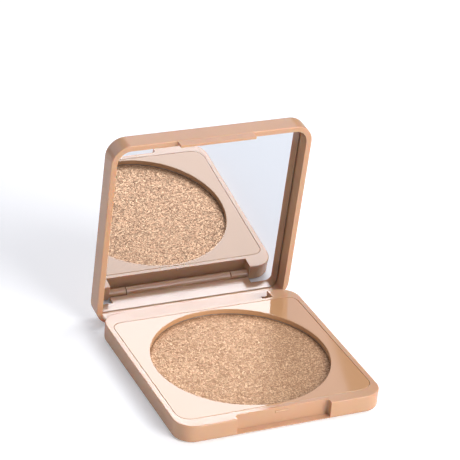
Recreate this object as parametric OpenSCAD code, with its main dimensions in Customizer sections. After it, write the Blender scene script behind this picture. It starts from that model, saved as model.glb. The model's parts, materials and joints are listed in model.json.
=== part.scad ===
// Square makeup compact: hinged mirror lid over a tray with one round powder pan.
// Origin: centre of the underside. +Z up, front edge at -Y, hinge at +Y.
// The lid is drawn open at open_angle, which is its rest pose.

/* [Case] */
// Width of base and lid
case_w = 76; // [62:0.5:96]
// Depth of base and lid, front to back
case_d = 76; // [68:0.5:96]
// Height of the base
base_h = 6.6; // [5.8:0.1:10]
// Height of the lid
lid_h = 7.6; // [6:0.1:12]
// Radius of the vertical corners
corner_r = 7; // [4:0.5:12]
// Rounding of the base's bottom edge
foot_round = 1.1; // [0.5:0.1:1.6]
// Rounding of the lid's outer edge
crown_round = 1.3; // [0.5:0.1:2]
// Rounding of the edges that meet when closed
lip_round = 0.35; // [0.2:0.05:0.6]

/* [Powder] */
// Diameter of the round opening in the deck
pan_hole_d = 63; // [45:0.5:70]
// Depth of the powder below the deck
powder_drop = 2; // [0.5:0.1:2.5]
// Metal thickness of the pan
pan_t = 0.35; // [0.2:0.05:0.6]

/* [Deck] */
// Thickness of the deck plate
deck_t = 1.7; // [1:0.1:2.2]
// Base rim left at each side of the deck
side_rim = 1.9; // [1.2:0.1:4]
// Base rim left in front of the deck
front_rim = 4.45; // [3.6:0.05:8]
// Base rim left between the deck and the hinge channel
back_rim = 1.4; // [1:0.1:4]

/* [Lid] */
// Wall thickness at the lid's sides
lid_side_wall = 2.1; // [1.4:0.1:4]
// Wall thickness at the lid's front
lid_front_wall = 2.05; // [1.8:0.05:4]
// Wall thickness at the lid's rear
lid_back_wall = 1.6; // [1.2:0.1:3]
// How far the lid's front edge stands behind the base's
lid_setback = 0.9; // [0:0.1:1]
// Depth of the mirror face below the lid's rim
mirror_drop = 5.3; // [3:0.1:8]
// Thickness of the mirror glass
mirror_t = 1.1; // [0.8:0.1:1.5]

/* [Hinge] */
// Angle between the lid's rest pose and its closed pose
open_angle = 84; // [60:1:88]
// Width of the channel between the two rear ears
channel_w = 56; // [40:1:60]
// Depth of the channel, front to back
channel_d = 5; // [4.6:0.1:6]
// Length of each knuckle on the base
end_knuckle_l = 6.8; // [4:0.1:12]
// Outer radius of the knuckles
knuckle_r = 1.6; // [1.4:0.05:2]
// Diameter of the hinge pin
pin_d = 1.2; // [1:0.1:1.6]
// Radial clearance of the pin in the lid's knuckle
pin_clear = 0.05; // [0.03:0.01:0.08]

/* [Catch] */
// Width of the finger notch in the front
notch_w = 34.8; // [24:0.2:44]
// Depth of the finger notch
notch_d = 2.7; // [2.5:0.1:3]
// Width of the catch tab on the lid
tab_w = 28.4; // [18:0.2:40]
// Length of the catch tab below the lid's rim
tab_l = 3; // [2:0.1:3.4]
// Width of the snap ridge in the notch
ridge_w = 4.6; // [3:0.1:12]

/* [Hidden] */
$fn = 96;
eps = 0.02;
part_gap = 0.15;
deck_gap = 0.12;
floor_t = 1.2;
glue_t = 0.2;
label_t = 0.15;
label_sink = 0.3;
label_r = min(15, pan_hole_d / 4);
pin_grip = 0.02;
half_w = case_w / 2;
half_d = case_d / 2;
channel_y = half_d - channel_d;
hinge_y = half_d - knuckle_r - 0.4;
hinge_z = knuckle_r + 0.2;
pin_r = pin_d / 2;
knuckle_gap = 0.4;
ear_x = channel_w / 2;
lid_knuckle_l = channel_w - 2 * end_knuckle_l - 2 * knuckle_gap;
pin_left = -ear_x - 2;
pin_right = ear_x + 6;
deck_x = half_w - side_rim;
deck_y0 = -half_d + front_rim;
deck_y1 = channel_y - back_rim;
deck_z = base_h - deck_t;
deck_front_r = corner_r - side_rim + 0.1;
deck_back_r = min(3.8, deck_front_r);
pan_y = (deck_y0 + deck_y1) / 2;
hole_r = min(pan_hole_d / 2, deck_x - 2.5, (deck_y1 - deck_y0) / 2 - 1);
powder_r = hole_r + 0.25;
pan_r = powder_r + pan_t;
well_r = pan_r + 0.3;
powder_z = base_h - powder_drop;
pan_top = deck_z - 0.1;
pan_z = floor_t + glue_t;
rim_z = base_h + part_gap;
lid_top = rim_z + lid_h;
cav_x = half_w - lid_side_wall;
lid_y0 = -half_d + lid_setback;
cav_y0 = lid_y0 + lid_front_wall;
cav_y1 = half_d - lid_back_wall;
cav_r = max(corner_r - lid_side_wall, 1.5);
mirror_z = rim_z + mirror_drop;
tape_z = mirror_z + mirror_t;
cav_top = tape_z + glue_t;
mirror_gap = 0.15;
ear_reach = sqrt(pow(half_d - hinge_y, 2) + pow(base_h - hinge_z, 2));
relief_r = ear_reach + 0.25;
flange_x = ear_x - 0.4;
flange_z = hinge_z + knuckle_r + 0.3;
flange_t = hinge_y + knuckle_r - cav_y1;
notch_y = -half_d + notch_d;
notch_floor = 0.8;
tab_y = lid_y0 + 0.15;
tab_t = notch_y - 0.75 - tab_y;
ridge_z = base_h - 1.55;
ridge_r = 0.4;

plastic = [0.84, 0.66, 0.5];
plastic_deck = [0.88, 0.75, 0.64];
metal = [0.75, 0.76, 0.78];
powder = [0.8, 0.62, 0.48];
silver = [0.86, 0.88, 0.9];
paper = [0.93, 0.91, 0.87];
foam = [0.92, 0.92, 0.92];

// Sub-part to draw

// Upright slab edge seen from its end: x = 0 is the corner's axis.
module edge_profile(r, h, low, high) {
  difference() {
    square([r, h]);
    translate([r - low, -eps]) square([low + eps, low + eps]);
    translate([r - high, h - high]) square([high + eps, high + eps]);
  }
  translate([r - low, low]) circle(low);
  translate([r - high, h - high]) circle(high);
}

// Slab of a run of edge profile, from the middle plane outwards on both sides.
module slab_run(w, l, r, h, low, high) {
  rotate([90, 0, 0]) translate([0, 0, -l / 2]) linear_extrude(l) {
    translate([w / 2 - r, 0]) edge_profile(r, h, low, high);
    mirror([1, 0]) translate([w / 2 - r, 0]) edge_profile(r, h, low, high);
    translate([-w / 2 + r - eps, 0]) square([w - 2 * r + 2 * eps, h]);
  }
}

// Rounded box on z = 0 with rounded corners, bottom edge and top edge.
module slab(w, d, h, r, low, high) {
  slab_run(w, d - 2 * r, r, h, low, high);
  rotate([0, 0, 90]) slab_run(d, w - 2 * r, r, h, low, high);
  for (x = [-1, 1], y = [-1, 1])
    translate([x * (w / 2 - r), y * (d / 2 - r), 0])
      rotate_extrude() edge_profile(r, h, low, high);
}

// Flat outline with its own front and back corner radii.
module outline(x, y0, y1, rf, rb) {
  for (s = [-1, 1]) {
    translate([s * (x - rf), y0 + rf]) circle(rf);
    translate([s * (x - rb), y1 - rb]) circle(rb);
  }
  translate([-x + rf, y0]) square([2 * (x - rf), y1 - y0 - rb]);
  translate([-x + rb, y0 + rf]) square([2 * (x - rb), y1 - y0 - rf]);
  translate([-x, y0 + rf]) square([2 * x, y1 - y0 - rf - rb]);
}

// Rod along X at the hinge line.
module hinge_rod(x0, x1, r) {
  translate([x0, hinge_y, hinge_z]) rotate([0, 90, 0]) cylinder(h = x1 - x0, r = r);
}

// Swings a closed-pose lid piece to its rest pose.
module lid_pose() {
  translate([0, hinge_y, hinge_z]) rotate([-open_angle, 0, 0])
    translate([0, -hinge_y, -hinge_z]) children();
}

// Finger notch outline, with rounded ends.
module notch_cut() {
  r = 1.2;
  translate([0, 0, notch_floor]) linear_extrude(base_h) {
    for (s = [-1, 1])
      translate([s * (notch_w / 2 - r), notch_y - r]) circle(r);
    translate([-notch_w / 2 + r, notch_y - r]) square([notch_w - 2 * r, r]);
    translate([-notch_w / 2, -half_d - 1]) square([notch_w, notch_d + 1 - r]);
  }
}

// Lightening pockets under the deck's corners.
module corner_cores() {
  inset = 1.3;
  translate([0, 0, floor_t + 0.2]) linear_extrude(base_h) difference() {
    outline(deck_x - inset, deck_y0 + inset, deck_y1 - inset, deck_front_r - inset, deck_back_r - inset);
    translate([0, pan_y]) circle(well_r + 1.2);
    translate([-notch_w / 2 - 1, -half_d]) square([notch_w + 2, notch_d + 1.2]);
  }
}

module base_shell() {
  color(plastic) difference() {
    union() {
      difference() {
        slab(case_w, case_d, base_h, corner_r, foot_round, lip_round);
        translate([-ear_x, channel_y, -1]) cube([channel_w, channel_d + 1, base_h + 2]);
        translate([0, 0, deck_z]) linear_extrude(deck_t + 1)
          outline(deck_x, deck_y0, deck_y1, deck_front_r, deck_back_r);
        translate([0, pan_y, floor_t]) cylinder(h = base_h, r = well_r);
        corner_cores();
        notch_cut();
        translate([0, pan_y, -1]) cylinder(h = 1 + label_sink, r = label_r + 0.3);
      }
      hinge_rod(-ear_x - 0.5, -ear_x + end_knuckle_l, knuckle_r);
      hinge_rod(ear_x - end_knuckle_l, ear_x + 0.5, knuckle_r);
      translate([-ridge_w / 2, notch_y, ridge_z]) rotate([0, 90, 0]) cylinder(h = ridge_w, r = ridge_r);
    }
    hinge_rod(pin_left - 0.2, half_w + 1, pin_r + pin_grip);
  }
}

module deck_plate() {
  color(plastic_deck) translate([0, 0, deck_z]) linear_extrude(deck_t) difference() {
    outline(deck_x - deck_gap, deck_y0 + deck_gap, deck_y1 - deck_gap,
            deck_front_r - deck_gap, deck_back_r - deck_gap);
    translate([0, pan_y]) circle(hole_r, $fn = 180);
  }
}

module powder_pan() {
  color(metal) translate([0, pan_y, 0]) difference() {
    translate([0, 0, pan_z]) cylinder(h = pan_top - pan_z, r = pan_r, $fn = 180);
    translate([0, 0, pan_z + pan_t]) cylinder(h = base_h, r = powder_r, $fn = 180);
  }
}

module pressed_powder() {
  color(powder) translate([0, pan_y, pan_z + pan_t])
    cylinder(h = powder_z - pan_z - pan_t, r = powder_r, $fn = 180);
}

module pan_adhesive() {
  color(foam) translate([0, pan_y, floor_t]) cylinder(h = glue_t, r = pan_r * 0.7);
}

module base_label() {
  color(paper) translate([0, pan_y, label_sink - label_t]) cylinder(h = label_t, r = label_r);
}

module hinge_pin() {
  color(metal) hinge_rod(pin_left, pin_right, pin_r);
}

// Clears the rear ears as the lid swings.
module ear_relief() {
  for (s = [-1, 1])
    translate([s > 0 ? ear_x - 0.6 : -half_w - 1, hinge_y, hinge_z]) rotate([0, 90, 0])
      cylinder(h = half_w - ear_x + 1.6, r = relief_r);
}

// Middle knuckle, and the flange that carries it down from the lid's rear wall.
module lid_knuckle() {
  l = lid_knuckle_l;
  hinge_rod(-l / 2, l / 2, knuckle_r);
  translate([-l / 2, cav_y1, hinge_z]) cube([l, flange_t, rim_z - hinge_z + 0.5]);
  translate([-flange_x, cav_y1, flange_z]) cube([2 * flange_x, flange_t, rim_z - flange_z + 0.5]);
}

module catch_tab() {
  difference() {
    translate([-tab_w / 2, tab_y, rim_z - tab_l]) cube([tab_w, tab_t, tab_l + 0.5]);
    translate([-ridge_w / 2 - 0.4, tab_y + tab_t, ridge_z]) rotate([0, 90, 0])
      cylinder(h = ridge_w + 0.8, r = 0.35);
  }
}

module lid_shell() {
  color(plastic) lid_pose() difference() {
    union() {
      difference() {
        translate([0, lid_setback / 2, rim_z])
          slab(case_w, case_d - lid_setback, lid_h, corner_r, lip_round, crown_round);
        translate([0, 0, rim_z - 1]) linear_extrude(cav_top - rim_z + 1)
          outline(cav_x, cav_y0, cav_y1, cav_r, min(3, cav_r));
        ear_relief();
      }
      lid_knuckle();
      catch_tab();
    }
    hinge_rod(-half_w, half_w, pin_r + pin_clear);
  }
}

module mirror_plate(z, h, g) {
  lid_pose() translate([0, 0, z]) linear_extrude(h)
    outline(cav_x - g, cav_y0 + g, cav_y1 - g, cav_r - g, min(3, cav_r) - g);
}

module mirror_glass() {
  color(silver) mirror_plate(mirror_z, mirror_t, mirror_gap);
}

module mirror_tape() {
  color(foam) mirror_plate(tape_z, glue_t, 1.2);
}

base_shell();
deck_plate();
powder_pan();
pressed_powder();
pan_adhesive();
base_label();
hinge_pin();
lid_shell();
mirror_glass();
mirror_tape();
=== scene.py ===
import json
import math

import bmesh
import bpy
from mathutils import Matrix, Quaternion, Vector, noise


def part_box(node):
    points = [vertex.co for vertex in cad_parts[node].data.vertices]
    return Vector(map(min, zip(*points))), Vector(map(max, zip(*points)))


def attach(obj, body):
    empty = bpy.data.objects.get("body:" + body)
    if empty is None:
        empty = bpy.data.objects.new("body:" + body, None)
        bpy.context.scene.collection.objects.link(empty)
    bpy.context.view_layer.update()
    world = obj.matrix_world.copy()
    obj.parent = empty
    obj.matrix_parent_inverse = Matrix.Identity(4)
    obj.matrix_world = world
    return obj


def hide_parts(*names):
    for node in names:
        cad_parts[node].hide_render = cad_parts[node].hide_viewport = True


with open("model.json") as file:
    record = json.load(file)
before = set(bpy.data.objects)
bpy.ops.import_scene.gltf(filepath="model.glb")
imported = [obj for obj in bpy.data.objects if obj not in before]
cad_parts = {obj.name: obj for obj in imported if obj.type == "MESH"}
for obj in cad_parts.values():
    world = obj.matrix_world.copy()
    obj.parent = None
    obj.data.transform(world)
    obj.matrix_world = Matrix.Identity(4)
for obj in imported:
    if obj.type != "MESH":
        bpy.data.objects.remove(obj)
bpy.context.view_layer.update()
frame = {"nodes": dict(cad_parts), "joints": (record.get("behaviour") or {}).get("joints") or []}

mm = 0.001
hinge = frame["joints"][0]
print("frame loaded:", ", ".join(sorted(frame["nodes"])))


def addNode(tree, kind, at=(0, 0), **settings):
    made = tree.nodes.new(kind)
    made.location = (at[0] * 200, at[1] * 180)
    for name, value in settings.items():
        setattr(made, name, value)
    return made


def feed(tree, source, target):
    # a socket is linked, anything else is typed into the socket
    if isinstance(source, bpy.types.NodeSocket):
        tree.links.new(source, target)
    else:
        target.default_value = source


def mathNode(tree, operation, a, b=0.0, c=0.0, clamp=False, at=(0, 0)):
    made = addNode(tree, "ShaderNodeMath", at, operation=operation, use_clamp=clamp)
    for socket, value in zip(made.inputs, (a, b, c)):
        feed(tree, value, socket)
    return made.outputs[0]


def mixColour(tree, blend, factor, a, b, at=(0, 0)):
    made = addNode(tree, "ShaderNodeMix", at, data_type="RGBA", blend_type=blend)
    feed(tree, factor, made.inputs["Factor"])
    feed(tree, a, made.inputs[6])
    feed(tree, b, made.inputs[7])
    return made.outputs[2]


def mapRange(tree, value, fromMin, fromMax, toMin, toMax, at=(0, 0)):
    made = addNode(tree, "ShaderNodeMapRange", at)
    for socket, number in zip(made.inputs, (value, fromMin, fromMax, toMin, toMax)):
        feed(tree, number, socket)
    return made.outputs[0]


def rgb(values):
    return (*values, 1.0)


def newGroup(name, inputs, outputs):
    tree = bpy.data.node_groups.new(name, "ShaderNodeTree")
    for label, kind, value in inputs:
        socket = tree.interface.new_socket(name=label, in_out="INPUT", socket_type=kind)
        if value is not None:
            socket.default_value = value
    for label, kind in outputs:
        tree.interface.new_socket(name=label, in_out="OUTPUT", socket_type=kind)
    return tree, addNode(tree, "NodeGroupInput", (-6, 0)), addNode(tree, "NodeGroupOutput", (8, 0))


def useGroup(tree, group, at=(0, 0), **values):
    made = addNode(tree, "ShaderNodeGroup", at, node_tree=group)
    for name, value in values.items():
        feed(tree, value, made.inputs[name])
    return made


def newMaterial(name):
    material = bpy.data.materials.new(name)
    material.use_nodes = True
    tree = material.node_tree
    tree.nodes.clear()
    shader = addNode(tree, "ShaderNodeBsdfPrincipled", (6, 0))
    output = addNode(tree, "ShaderNodeOutputMaterial", (8, 0))
    tree.links.new(shader.outputs["BSDF"], output.inputs["Surface"])
    coords = addNode(tree, "ShaderNodeTexCoord", (-8, 0))
    return material, tree, shader, coords.outputs["Object"]


def bumpFrom(tree, height, strength, distance, at=(4, -2)):
    bump = addNode(tree, "ShaderNodeBump", at)
    feed(tree, strength, bump.inputs["Strength"])
    feed(tree, distance, bump.inputs["Distance"])
    feed(tree, height, bump.inputs["Height"])
    return bump.outputs["Normal"]


def makeMouldGrain():
    # fine texture of a satin moulding, plus slow colour drift in the melt
    tree, start, end = newGroup("mouldGrain", [
        ("Vector", "NodeSocketVector", None), ("GrainSize", "NodeSocketFloat", 0.0003),
        ("DriftSize", "NodeSocketFloat", 0.02)],
        [("Height", "NodeSocketFloat"), ("Drift", "NodeSocketFloat")])
    fine = addNode(tree, "ShaderNodeTexNoise", (-2, 1))
    feed(tree, start.outputs["Vector"], fine.inputs["Vector"])
    feed(tree, mathNode(tree, "DIVIDE", 1.0, start.outputs["GrainSize"], at=(-4, 1)), fine.inputs["Scale"])
    feed(tree, 3.0, fine.inputs["Detail"])
    slow = addNode(tree, "ShaderNodeTexNoise", (-2, -1))
    feed(tree, start.outputs["Vector"], slow.inputs["Vector"])
    feed(tree, mathNode(tree, "DIVIDE", 1.0, start.outputs["DriftSize"], at=(-4, -1)), slow.inputs["Scale"])
    feed(tree, fine.outputs["Fac"], end.inputs["Height"])
    feed(tree, slow.outputs["Fac"], end.inputs["Drift"])
    return tree


def makeSmudges():
    # soft patches left by handling, and short hairline marks
    tree, start, end = newGroup("smudges", [
        ("Vector", "NodeSocketVector", None), ("PatchSize", "NodeSocketFloat", 0.012)],
        [("Patches", "NodeSocketFloat"), ("Hairlines", "NodeSocketFloat")])
    patch = addNode(tree, "ShaderNodeTexNoise", (-2, 1))
    feed(tree, start.outputs["Vector"], patch.inputs["Vector"])
    feed(tree, mathNode(tree, "DIVIDE", 1.0, start.outputs["PatchSize"], at=(-4, 1)), patch.inputs["Scale"])
    feed(tree, 4.0, patch.inputs["Detail"])
    feed(tree, mapRange(tree, patch.outputs["Fac"], 0.5, 0.75, 0.0, 1.0, (0, 1)), end.inputs["Patches"])
    turned = addNode(tree, "ShaderNodeMapping", (-4, -1))
    feed(tree, start.outputs["Vector"], turned.inputs["Vector"])
    turned.inputs["Rotation"].default_value = (0.35, 0.2, 0.9)
    turned.inputs["Scale"].default_value = (220, 3200, 900)
    lines = addNode(tree, "ShaderNodeTexNoise", (-2, -1))
    feed(tree, turned.outputs["Vector"], lines.inputs["Vector"])
    feed(tree, 1.0, lines.inputs["Scale"])
    feed(tree, mapRange(tree, lines.outputs["Fac"], 0.68, 0.76, 0.0, 1.0, (0, -1)), end.inputs["Hairlines"])
    return tree


def makePaintedEdgeHighlight():
    # painted highlight: rounded-over edges are coloured lighter, standing in for the highlight they catch;
    # the mask compares the true normal with one taken round the edge
    tree, start, end = newGroup("paintedEdgeHighlight", [
        ("Vector", "NodeSocketVector", None), ("Width", "NodeSocketFloat", 0.0004)],
        [("PaintedHighlight", "NodeSocketFloat")])
    bevel = addNode(tree, "ShaderNodeBevel", (-4, 1), samples=4)
    feed(tree, start.outputs["Width"], bevel.inputs["Radius"])
    geometry = addNode(tree, "ShaderNodeNewGeometry", (-4, -1))
    dot = addNode(tree, "ShaderNodeVectorMath", (-2, 0), operation="DOT_PRODUCT")
    feed(tree, bevel.outputs["Normal"], dot.inputs[0])
    feed(tree, geometry.outputs["Normal"], dot.inputs[1])
    edge = mapRange(tree, dot.outputs["Value"], 1.0, 0.75, 0.0, 1.0, (0, 0))
    broken = addNode(tree, "ShaderNodeTexNoise", (-2, -2))
    feed(tree, start.outputs["Vector"], broken.inputs["Vector"])
    feed(tree, 700.0, broken.inputs["Scale"])
    edgeHighlight = mathNode(tree, "MULTIPLY", edge, broken.outputs["Fac"], clamp=True, at=(2, 0))
    feed(tree, edgeHighlight, end.inputs["PaintedHighlight"])
    return tree


def makeMica():
    # flat flakes lying at random tilts: one value and one tilt for each cell
    tree, start, end = newGroup("mica", [
        ("Vector", "NodeSocketVector", None), ("FlakeSize", "NodeSocketFloat", 0.0003),
        ("Share", "NodeSocketFloat", 0.3), ("Tilt", "NodeSocketFloat", 0.5)],
        [("Flakes", "NodeSocketFloat"), ("Tone", "NodeSocketFloat"), ("Normal", "NodeSocketVector")])
    cells = addNode(tree, "ShaderNodeTexVoronoi", (-2, 0), feature="F1")
    feed(tree, start.outputs["Vector"], cells.inputs["Vector"])
    feed(tree, mathNode(tree, "DIVIDE", 1.0, start.outputs["FlakeSize"], at=(-4, 0)), cells.inputs["Scale"])
    parts = addNode(tree, "ShaderNodeSeparateColor", (0, 1))
    feed(tree, cells.outputs["Color"], parts.inputs[0])
    chosen = mathNode(tree, "LESS_THAN", parts.outputs[0], start.outputs["Share"], at=(2, 2))
    feed(tree, chosen, end.inputs["Flakes"])
    feed(tree, parts.outputs[1], end.inputs["Tone"])
    centred = addNode(tree, "ShaderNodeVectorMath", (0, -1), operation="SUBTRACT")
    feed(tree, cells.outputs["Color"], centred.inputs[0])
    centred.inputs[1].default_value = (0.5, 0.5, 0.5)
    leaned = addNode(tree, "ShaderNodeVectorMath", (2, -1), operation="SCALE")
    feed(tree, centred.outputs[0], leaned.inputs[0])
    feed(tree, start.outputs["Tilt"], leaned.inputs["Scale"])
    geometry = addNode(tree, "ShaderNodeNewGeometry", (2, -3))
    added = addNode(tree, "ShaderNodeVectorMath", (4, -1), operation="ADD")
    feed(tree, leaned.outputs[0], added.inputs[0])
    feed(tree, geometry.outputs["Normal"], added.inputs[1])
    unit = addNode(tree, "ShaderNodeVectorMath", (6, -1), operation="NORMALIZE")
    feed(tree, added.outputs[0], unit.inputs[0])
    feed(tree, unit.outputs[0], end.inputs["Normal"])
    return tree


mouldGrain, smudges = makeMouldGrain(), makeSmudges()
paintedEdgeHighlight, mica = makePaintedEdgeHighlight(), makeMica()
print("shared effects built")


# case plastic: satin, moulded through and through in one warm beige; its rounded edges get a painted
# highlight
caseLook = {
    "colour": (0.575, 0.33, 0.195),
    "paler": (0.605, 0.355, 0.215),
    # painted highlight: the lighter colour and how strongly it is mixed in along the rounded edges
    "edgeHighlightColour": (0.74, 0.51, 0.32),
    "edgeHighlightStrength": 0.4,
    "roughness": 0.165,
    "grainSize": 0.0005,
    "grainDepth": 0.000002,
    "driftSize": 0.018,
    "smudgeSize": 0.009,
    "edgeWidth": 0.0004,
    "smudgeRoughness": 0.04,
    "glow": 0.5,
    "glowReach": (1.0, 0.34, 0.12),
    "glowScale": 1.5 * mm,
}


def caseMaterial():
    look = caseLook
    material, tree, shader, where = newMaterial("caseSatin")
    grain = useGroup(tree, mouldGrain, (-4, 0), Vector=where,
                     GrainSize=look["grainSize"], DriftSize=look["driftSize"])
    marks = useGroup(tree, smudges, (-4, -2), Vector=where, PatchSize=look["smudgeSize"])
    edgeHighlight = useGroup(tree, paintedEdgeHighlight, (-4, 2), Vector=where, Width=look["edgeWidth"])
    body = mixColour(tree, "MIX", grain.outputs["Drift"], rgb(look["colour"]), rgb(look["paler"]), (0, 1))
    # painted highlight: the rounded edges are mixed towards the lighter colour
    edgeHighlightStrength = mathNode(tree, "MULTIPLY", edgeHighlight.outputs["PaintedHighlight"], look["edgeHighlightStrength"], at=(0, 2))
    tone = mixColour(tree, "MIX", edgeHighlightStrength, body, rgb(look["edgeHighlightColour"]), (2, 1))
    feed(tree, tone, shader.inputs["Base Color"])
    smooth, coarse = look["roughness"] - 0.02, look["roughness"] + 0.03
    rough = mapRange(tree, grain.outputs["Height"], 0.3, 0.7, smooth, coarse, (0, -1))
    handled = mathNode(tree, "MULTIPLY_ADD", marks.outputs["Patches"],
                       look["smudgeRoughness"], rough, at=(2, -1))
    feed(tree, handled, shader.inputs["Roughness"])
    feed(tree, bumpFrom(tree, grain.outputs["Height"], 0.5, look["grainDepth"]), shader.inputs["Normal"])
    shader.inputs["Subsurface Weight"].default_value = look["glow"]
    shader.inputs["Subsurface Radius"].default_value = look["glowReach"]
    shader.inputs["Subsurface Scale"].default_value = look["glowScale"]
    return material


# deck plastic: the same resin, polished
deckLook = {
    "colour": (0.53, 0.285, 0.14),
    "paler": (0.565, 0.31, 0.16),
    "roughness": 0.045,
    "wave": 0.0000035,
    "edgeRound": 0.2 * mm,
    "holeRound": 0.3 * mm,
    "frontCorner": 5.08 * mm,
    "backCorner": 3.68 * mm,
    "holeRadius": 31.5 * mm,
}


def deckMaterial():
    look = deckLook
    material, tree, shader, where = newMaterial("deckGloss")
    grain = useGroup(tree, mouldGrain, (-4, 0), Vector=where, GrainSize=0.006, DriftSize=0.02)
    marks = useGroup(tree, smudges, (-4, -2), Vector=where, PatchSize=0.011)
    body = mixColour(tree, "MIX", grain.outputs["Drift"], rgb(look["colour"]), rgb(look["paler"]), (0, 1))
    feed(tree, body, shader.inputs["Base Color"])
    film = mathNode(tree, "MULTIPLY_ADD", marks.outputs["Patches"], 0.03, look["roughness"], at=(0, -1))
    scratched = mathNode(tree, "MULTIPLY_ADD", marks.outputs["Hairlines"], 0.06, film, at=(2, -1))
    feed(tree, scratched, shader.inputs["Roughness"])
    feed(tree, bumpFrom(tree, grain.outputs["Height"], 0.4, look["wave"]), shader.inputs["Normal"])
    return material


# pressed powder: beige filler with mica lying almost flat
powderLook = {
    "colour": (0.54, 0.30, 0.16),
    "deep": (0.24, 0.115, 0.055),
    "light": (0.80, 0.54, 0.33),
    "flakeSize": 0.0004,
    "flakeShare": 0.5,
    "flakeTilt": 0.06,
    "flakeMetal": 0.5,
    "flakeRoughness": 0.5,
    "fillerRoughness": 0.8,
    "crumbSize": 0.00032,
    "cells": 180,
    "relief": 0.02 * mm,
    "edgeFall": 0.16 * mm,
    "edgeWidth": 0.9 * mm,
}


def powderMaterial():
    look = powderLook
    material, tree, shader, where = newMaterial("micaPowder")
    flakes = useGroup(tree, mica, (-4, 0), Vector=where, FlakeSize=look["flakeSize"],
                      Share=look["flakeShare"], Tilt=look["flakeTilt"])
    crumbs = useGroup(tree, mica, (-4, 2), Vector=where, FlakeSize=look["crumbSize"])
    dark = mixColour(tree, "MIX", mapRange(tree, crumbs.outputs["Tone"], 0.0, 1.0, 0.0, 0.9, (-2, 2)),
                     rgb(look["colour"]), rgb(look["deep"]), (0, 2))
    lit = mixColour(tree, "MIX", mapRange(tree, flakes.outputs["Tone"], 0.5, 1.0, 0.0, 0.85, (-2, 0)),
                    dark, rgb(look["light"]), (2, 2))
    feed(tree, lit, shader.inputs["Base Color"])
    metal = mathNode(tree, "MULTIPLY", flakes.outputs["Flakes"], look["flakeMetal"], at=(0, 0))
    feed(tree, metal, shader.inputs["Metallic"])
    rough = mapRange(tree, flakes.outputs["Flakes"], 0.0, 1.0,
                     look["fillerRoughness"], look["flakeRoughness"], (0, -1))
    feed(tree, rough, shader.inputs["Roughness"])
    feed(tree, flakes.outputs["Normal"], shader.inputs["Normal"])
    return material


# mirror: silvered glass with ground edges
mirrorLook = {
    "silver": (0.79, 0.82, 0.87),
    "hazed": (0.75, 0.76, 0.79),
    "roughness": 0.004,
    "edgeTone": (0.24, 0.27, 0.25),
    "edgeTonePale": (0.40, 0.43, 0.40),
    "bevel": 0.22 * mm,
    "frontCorner": 4.75 * mm,
    "backCorner": 2.85 * mm,
}


def mirrorMaterial():
    look = mirrorLook
    material, tree, shader, where = newMaterial("mirrorSilver")
    marks = useGroup(tree, smudges, (-4, 0), Vector=where, PatchSize=0.015)
    haze = mathNode(tree, "MULTIPLY", marks.outputs["Patches"], 0.05, at=(0, 1))
    silver = mixColour(tree, "MIX", haze, rgb(look["silver"]), rgb(look["hazed"]), (2, 1))
    feed(tree, silver, shader.inputs["Base Color"])
    shader.inputs["Metallic"].default_value = 1.0
    film = mathNode(tree, "MULTIPLY_ADD", marks.outputs["Patches"], 0.012, look["roughness"], at=(0, -1))
    scratched = mathNode(tree, "MULTIPLY_ADD", marks.outputs["Hairlines"], 0.01, film, at=(2, -1))
    feed(tree, scratched, shader.inputs["Roughness"])
    return material


def mirrorEdgeMaterial():
    look = mirrorLook
    material, tree, shader, where = newMaterial("groundGlass")
    grain = useGroup(tree, mouldGrain, (-4, 0), Vector=where, GrainSize=0.0002, DriftSize=0.004)
    ground = mixColour(tree, "MIX", grain.outputs["Drift"],
                       rgb(look["edgeTone"]), rgb(look["edgeTonePale"]), (0, 1))
    feed(tree, ground, shader.inputs["Base Color"])
    rough = mapRange(tree, grain.outputs["Height"], 0.3, 0.7, 0.25, 0.45, (0, -1))
    feed(tree, rough, shader.inputs["Roughness"])
    return material


# metals
metalLook = {
    "pan": {"colour": (0.72, 0.72, 0.73), "roughness": 0.34, "stretch": (900, 900, 60)},
    "pin": {"colour": (0.60, 0.60, 0.61), "roughness": 0.24, "stretch": (60, 2600, 2600)},
}


def metalMaterial(kind):
    look = metalLook[kind]
    material, tree, shader, where = newMaterial(kind + "Metal")
    stretched = addNode(tree, "ShaderNodeMapping", (-4, 0))
    feed(tree, where, stretched.inputs["Vector"])
    stretched.inputs["Scale"].default_value = look["stretch"]
    drawn = addNode(tree, "ShaderNodeTexNoise", (-2, 0))
    feed(tree, stretched.outputs["Vector"], drawn.inputs["Vector"])
    feed(tree, 1.0, drawn.inputs["Scale"])
    feed(tree, 5.0, drawn.inputs["Detail"])
    shade = tuple(0.72 * c for c in look["colour"])
    tone = mixColour(tree, "MIX", drawn.outputs["Fac"], rgb(shade), rgb(look["colour"]), (0, 1))
    feed(tree, tone, shader.inputs["Base Color"])
    smooth, coarse = look["roughness"] - 0.06, look["roughness"] + 0.1
    rough = mapRange(tree, drawn.outputs["Fac"], 0.3, 0.7, smooth, coarse, (0, -1))
    feed(tree, rough, shader.inputs["Roughness"])
    feed(tree, bumpFrom(tree, drawn.outputs["Fac"], 0.3, 0.000004), shader.inputs["Normal"])
    shader.inputs["Metallic"].default_value = 1.0
    return material


# foam tape and label paper
softLook = {
    "foamTape": {"colour": (0.78, 0.78, 0.76), "dark": (0.55, 0.55, 0.53),
                 "size": 0.0006, "roughness": 0.85, "depth": 0.00006},
    "labelPaper": {"colour": (0.86, 0.85, 0.82), "dark": (0.74, 0.72, 0.68),
                   "size": 0.00035, "roughness": 0.7, "depth": 0.000012},
}


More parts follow.
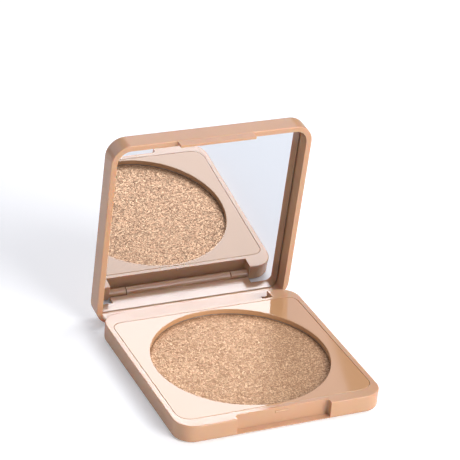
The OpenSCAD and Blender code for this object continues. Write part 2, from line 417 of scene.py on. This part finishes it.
def softMaterial(kind):
    look = softLook[kind]
    material, tree, shader, where = newMaterial(kind)
    grain = useGroup(tree, mouldGrain, (-4, 0), Vector=where, GrainSize=look["size"], DriftSize=0.01)
    tone = mixColour(tree, "MIX", grain.outputs["Height"], rgb(look["dark"]), rgb(look["colour"]), (0, 1))
    feed(tree, tone, shader.inputs["Base Color"])
    smooth, coarse = look["roughness"] - 0.08, look["roughness"] + 0.08
    rough = mapRange(tree, grain.outputs["Drift"], 0.3, 0.7, smooth, coarse, (0, -1))
    feed(tree, rough, shader.inputs["Roughness"])
    feed(tree, bumpFrom(tree, grain.outputs["Height"], 0.6, look["depth"]), shader.inputs["Normal"])
    return material


def paint(name, material):
    slots = frame["nodes"][name].data.materials
    for index in range(len(slots)):
        slots[index] = material


casePlastic, deckGloss, powderSkin = caseMaterial(), deckMaterial(), powderMaterial()
mirrorSilver, groundGlass = mirrorMaterial(), mirrorEdgeMaterial()
for nodeName, finish in {
    "base_shell": casePlastic, "lid_shell": casePlastic,
    "deck_plate": deckGloss, "pressed_powder": powderSkin,
    "mirror_glass": mirrorSilver, "powder_pan": metalMaterial("pan"), "hinge_pin": metalMaterial("pin"),
    "pan_adhesive": softMaterial("foamTape"), "mirror_tape": softMaterial("foamTape"),
    "base_label": softMaterial("labelPaper"),
}.items():
    paint(nodeName, finish)
print("finishes assigned")


def newPiece(name, build, materials, body, node):
    mesh = bpy.data.meshes.new(name)
    bmesh.ops.recalc_face_normals(build, faces=build.faces)
    build.to_mesh(mesh)
    build.free()
    for material in materials:
        mesh.materials.append(material)
    mesh.shade_smooth()
    piece = bpy.data.objects.new(name, mesh)
    bpy.context.scene.collection.objects.link(piece)
    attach(piece, body)
    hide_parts(node)
    return piece


def roundedOutline(x, yFront, yBack, frontRadius, backRadius, inset, z, cornerSteps=14, sideSteps=40):
    # anticlockwise from above; every inset gives the same number of points
    corners = [(x - backRadius, yBack - backRadius, backRadius, 0),
               (backRadius - x, yBack - backRadius, backRadius, 90),
               (frontRadius - x, yFront + frontRadius, frontRadius, 180),
               (x - frontRadius, yFront + frontRadius, frontRadius, 270)]
    arcs = [[Vector((cx + (r - inset) * math.cos(math.radians(first + 90 * s / cornerSteps)),
                     cy + (r - inset) * math.sin(math.radians(first + 90 * s / cornerSteps)), z))
             for s in range(cornerSteps + 1)] for cx, cy, r, first in corners]
    points = []
    for arc, following in zip(arcs, arcs[1:] + arcs[:1]):
        points += arc + [arc[-1].lerp(following[0], s / sideSteps) for s in range(1, sideSteps)]
    return points


def filletSteps(radius, count=5):
    # pairs of (inset from the side, drop from the top) round a quarter turn
    turns = [math.pi / 2 * s / count for s in range(count + 1)]
    return [(radius * (1 - math.cos(t)), radius * (1 - math.sin(t))) for t in turns]


def joinRings(build, rings, wrap=False, capped=False):
    rows = [[build.verts.new(point) for point in ring] for ring in rings]
    pairs = list(zip(rows, rows[1:])) + ([(rows[-1], rows[0])] if wrap else [])
    for low, high in pairs:
        for i in range(len(low)):
            j = (i + 1) % len(low)
            build.faces.new((low[i], low[j], high[j], high[i]))
    if capped:
        build.faces.new(rows[0])
        build.faces.new(rows[-1])


# deck plate: softened outer edge, rounded lip round the powder opening
low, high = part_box("deck_plate")
powderMiddle = (low.y + high.y) / 2


def deckRing(inset, z):
    look = deckLook
    return roundedOutline(high.x, low.y, high.y, look["frontCorner"], look["backCorner"], inset, z)


def holeRing(radius, z):
    # points lie on the same spokes as the outline's, so the flat between them is even
    spokes = [math.atan2(p.y - powderMiddle, p.x) for p in deckRing(0, 0)]
    return [Vector((radius * math.cos(a), powderMiddle + radius * math.sin(a), z)) for a in spokes]


flatEdge = 0.06 * mm
rings = [deckRing(0, low.z)]
rings += [deckRing(inset, high.z - drop) for inset, drop in filletSteps(deckLook["edgeRound"])]
rings.append(deckRing(deckLook["edgeRound"] + flatEdge, high.z))
rings.append(holeRing(deckLook["holeRadius"] + deckLook["holeRound"] + flatEdge, high.z))
lip = reversed(filletSteps(deckLook["holeRound"]))
rings += [holeRing(deckLook["holeRadius"] + inset, high.z - drop) for inset, drop in lip]
rings.append(holeRing(deckLook["holeRadius"], low.z))
deckBuild = bmesh.new()
joinRings(deckBuild, rings, wrap=True)
deckPiece = newPiece("deckPlate", deckBuild, [deckGloss], "base", "deck_plate")
deckPiece.data.set_sharp_from_angle(angle=math.radians(60))
print("deck plate built")

# pressed powder: grainy pressed surface that falls away at the pan wall
low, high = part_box("pressed_powder")
powderRadius = (high.x - low.x) / 2
look = powderLook
powderBuild = bmesh.new()
bmesh.ops.create_grid(powderBuild, x_segments=look["cells"], y_segments=look["cells"], size=1.0)
for vertex in powderBuild.verts:
    u, v = vertex.co.x, vertex.co.y
    x, y = u * math.sqrt(1 - v * v / 2), v * math.sqrt(1 - u * u / 2)
    inward = (1 - math.hypot(x, y)) * powderRadius
    spot = Vector((x, y, 0)) * powderRadius
    rough = noise.noise(spot / (4 * mm)) + 0.35 * (noise.cell(spot / (0.35 * mm)) - 0.5)
    fall = max(0.0, 1 - inward / look["edgeWidth"]) ** 2 * look["edgeFall"]
    height = high.z - look["relief"] + look["relief"] * rough - fall
    vertex.co = Vector((spot.x, spot.y + powderMiddle, height))
rimEdges = [edge for edge in powderBuild.edges if edge.is_boundary]
skirt = bmesh.ops.extrude_edge_only(powderBuild, edges=rimEdges)["geom"]
skirtVerts = [item for item in skirt if isinstance(item, bmesh.types.BMVert)]
for vertex in skirtVerts:
    vertex.co.z = low.z
bmesh.ops.contextual_create(powderBuild, geom=[edge for edge in powderBuild.edges if edge.is_boundary])
powderPiece = newPiece("powderCake", powderBuild, [powderSkin], "base", "pressed_powder")
powderPiece.data.set_sharp_from_angle(angle=math.radians(50))
print("powder built:", len(powderPiece.data.polygons), "faces")

# mirror: built shut above the base, then swung open with the lid
hingePoint = Vector(hinge["pos_m"])
opening = Matrix.Rotation(-math.radians(hinge["range_deg"][0]), 4, Vector(hinge["axis"]))
swing = Matrix.Translation(hingePoint) @ opening @ Matrix.Translation(-hingePoint)
shut = swing.inverted()
corners = [shut @ vertex.co for vertex in frame["nodes"]["mirror_glass"].data.vertices]
low = Vector([min(c[i] for c in corners) for i in range(3)])
high = Vector([max(c[i] for c in corners) for i in range(3)])


def mirrorRing(inset, z):
    look = mirrorLook
    return roundedOutline(high.x, low.y, high.y, look["frontCorner"], look["backCorner"], inset, z)


bevel = mirrorLook["bevel"]
rings = [mirrorRing(bevel + 0.1 * mm, low.z), mirrorRing(bevel + 0.02 * mm, low.z),
         mirrorRing(bevel, low.z + 0.004 * mm), mirrorRing(0, low.z + bevel * 0.8), mirrorRing(0, high.z)]
mirrorBuild = bmesh.new()
joinRings(mirrorBuild, rings, capped=True)
for face in mirrorBuild.faces:
    face.material_index = 0 if max(v.co.z for v in face.verts) < low.z + 0.01 * mm else 1
mirrorBuild.transform(swing)
mirrorSkins = [mirrorSilver, groundGlass]
mirrorPiece = newPiece("mirrorGlass", mirrorBuild, mirrorSkins, "lid", "mirror_glass")
mirrorPiece.data.set_sharp_from_angle(angle=math.radians(15))
print("mirror built")


# floor, light and camera
roomLook = {
    "floor": (0.88, 0.88, 0.89),
    "floorLift": 0.25,
    "sky": (0.80, 0.86, 1.0),
    "skyStrength": 0.16,
}

floorMesh = bpy.data.meshes.new("studioFloor")
floorBuild = bmesh.new()
bmesh.ops.create_grid(floorBuild, x_segments=1, y_segments=1, size=6.0)
floorBuild.to_mesh(floorMesh)
floorBuild.free()
studioFloor = bpy.data.objects.new("studioFloor", floorMesh)
bpy.context.scene.collection.objects.link(studioFloor)
studioFloor.location.z = -0.0002
floorPaint, floorTree, floorShader, _ = newMaterial("paleFloor")
floorShader.inputs["Base Color"].default_value = rgb(roomLook["floor"])
floorShader.inputs["Roughness"].default_value = 0.9
floorShader.inputs["Specular IOR Level"].default_value = 0.2
floorShader.inputs["Emission Color"].default_value = (1.0, 1.0, 1.0, 1.0)
# the floor glows a little for direct view only: it stays white, and the case's reflections don't change
direct = addNode(floorTree, "ShaderNodeLightPath", (0, -2)).outputs["Is Camera Ray"]
lift = mathNode(floorTree, "MULTIPLY", direct, roomLook["floorLift"], at=(3, -2))
feed(floorTree, lift, floorShader.inputs["Emission Strength"])
floorMesh.materials.append(floorPaint)

world = bpy.data.worlds.new("softRoom")
world.use_nodes = True
bpy.context.scene.world = world
background = world.node_tree.nodes.get("Background") or world.node_tree.nodes.new("ShaderNodeBackground")
background.inputs["Color"].default_value = rgb(roomLook["sky"])
background.inputs["Strength"].default_value = roomLook["skyStrength"]


def panelLight(name, azimuth, elevation, distance, width, height, radiance, colour=(1, 1, 1), roll=0):
    # azimuth runs from the front (0) to the object's right (90); radiance is what a mirror would show
    a, e = math.radians(azimuth), math.radians(elevation)
    target = Vector((0, 0, 0.01))
    away = Vector((math.sin(a) * math.cos(e), -math.cos(a) * math.cos(e), math.sin(e)))
    data = bpy.data.lights.new(name, "AREA")
    data.shape = "RECTANGLE"
    data.size, data.size_y = width, height
    data.energy = radiance * math.pi * width * height
    data.color = colour
    light = bpy.data.objects.new(name, data)
    light.location = target + away * distance
    light.rotation_mode = "QUATERNION"
    light.rotation_quaternion = away.to_track_quat("Z", "Y") @ Quaternion((0, 0, 1), math.radians(roll))
    light.visible_camera = False
    bpy.context.scene.collection.objects.link(light)
    return light


# a large softbox at the front right, hotter across its middle and weaker towards the top
panelLight("softboxRight", 27, 20, 1.1, 0.66, 0.30, 8.6)
panelLight("softboxCore", 27, 30, 1.1, 0.66, 0.15, 11.5)
panelLight("softboxTop", 27, 41, 1.1, 0.66, 0.28, 7.0)
panelLight("sideKey", 104, 41, 1.1, 0.6, 0.55, 4.2)
panelLight("topWash", 175, 72, 1.1, 1.3, 0.8, 0.6)
panelLight("coolBehind", -150, 26, 1.1, 0.7, 0.6, 1.2, colour=(0.72, 0.80, 1.0))
panelLight("lilacCard", 159.8, 32, 0.8, 0.29, 0.42, 1.55, colour=(0.93, 0.88, 1.0), roll=20)
panelLight("leftFill", -98, 24, 1.2, 0.9, 0.6, 1.2, colour=(0.92, 0.94, 1.0))

cameraLook = {
    "place": (-0.270037, -0.539827, 0.372705),
    "turn": (62.139, -4.332, -23.626),
    "sensor": 36,
    "lens": 158.158,
    "nearest": 0.01,
}

cameraData = bpy.data.cameras.new("mainCamera")
camera = bpy.data.objects.new("mainCamera", cameraData)
bpy.context.scene.collection.objects.link(camera)
bpy.context.scene.camera = camera
camera.location = cameraLook["place"]
camera.rotation_euler = tuple(math.radians(v) for v in cameraLook["turn"])
cameraData.sensor_width = cameraLook["sensor"]
cameraData.lens = cameraLook["lens"]
cameraData.clip_start = cameraLook["nearest"]
bpy.context.scene.view_settings.view_transform = "Standard"
bpy.context.scene.view_settings.look = "None"
print("studio ready")
